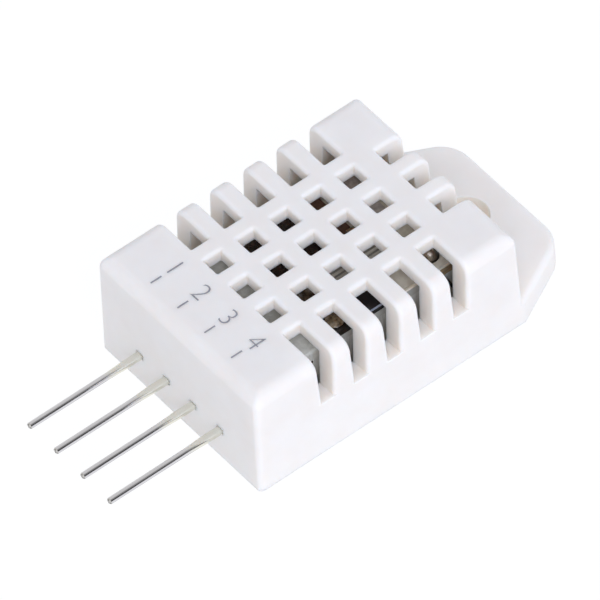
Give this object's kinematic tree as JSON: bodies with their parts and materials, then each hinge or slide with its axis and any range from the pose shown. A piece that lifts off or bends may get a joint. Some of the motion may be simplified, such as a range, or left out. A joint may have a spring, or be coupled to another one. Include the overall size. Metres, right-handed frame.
{
  "type": "temperature humidity sensor",
  "caption": "White slotted plastic sensor case on a row of contact pins, with a screw ear, a board and a humidity element inside.",
  "frame": {"origin": "centre of the case body's flat back face, leaving out the ear and the pins", "axes": "+Z out through the grille, +Y from the pins to the screw ear, +X across the width, to the right when the grille faces the viewer and the pins point down"},
  "size_m": [0.0152, 0.033, 0.0079],
  "materials": {
    "case_plastic": "moulded white",
    "cover_plastic": "moulded white",
    "adhesive": "cured clear",
    "carrier_plastic": "moulded grey",
    "board_laminate": "solder mask",
    "track_metal": "gold flash",
    "pin_metal": "tinned",
    "solder": "reflowed",
    "sealing_resin": "cured grey",
    "element_plate": "pressed brown",
    "element_film": "poured dark",
    "chip_resin": "moulded black",
    "cup_plastic": "moulded black",
    "bead_resin": "poured brown",
    "lead_metal": "tinned",
    "capacitor_ceramic": "fired brown",
    "resistor_ceramic": "glazed black",
    "cap_metal": "tinned",
    "wire_jacket": "extruded black"
  },
  "bodies": {
    "root": {"front_case": "case_plastic", "back_cover": "cover_plastic", "cover_adhesive": "adhesive", "board_carrier": "carrier_plastic", "circuit_board": "board_laminate", "board_tracks": "track_metal", "pin_solder_joints": "solder", "sealing_compound": "sealing_resin", "humidity_plate": "element_plate", "humidity_electrodes": "track_metal", "humidity_film": "element_film", "humidity_leads": "lead_metal", "humidity_solder": "solder", "thermistor_cup": "cup_plastic", "thermistor_bead": "bead_resin", "thermistor_leads": "lead_metal", "memory_chip": "chip_resin", "memory_chip_leads": "lead_metal", "controller_chip": "chip_resin", "controller_leads": "lead_metal", "capacitor_bodies": "capacitor_ceramic", "capacitor_caps": "cap_metal", "resistor_bodies": "resistor_ceramic", "resistor_caps": "cap_metal", "jumper_wire": "wire_jacket", "jumper_solder": "solder", "supply_pin": "pin_metal", "data_pin": "pin_metal", "spare_pin": "pin_metal", "ground_pin": "pin_metal"}
  },
  "joints": []
}
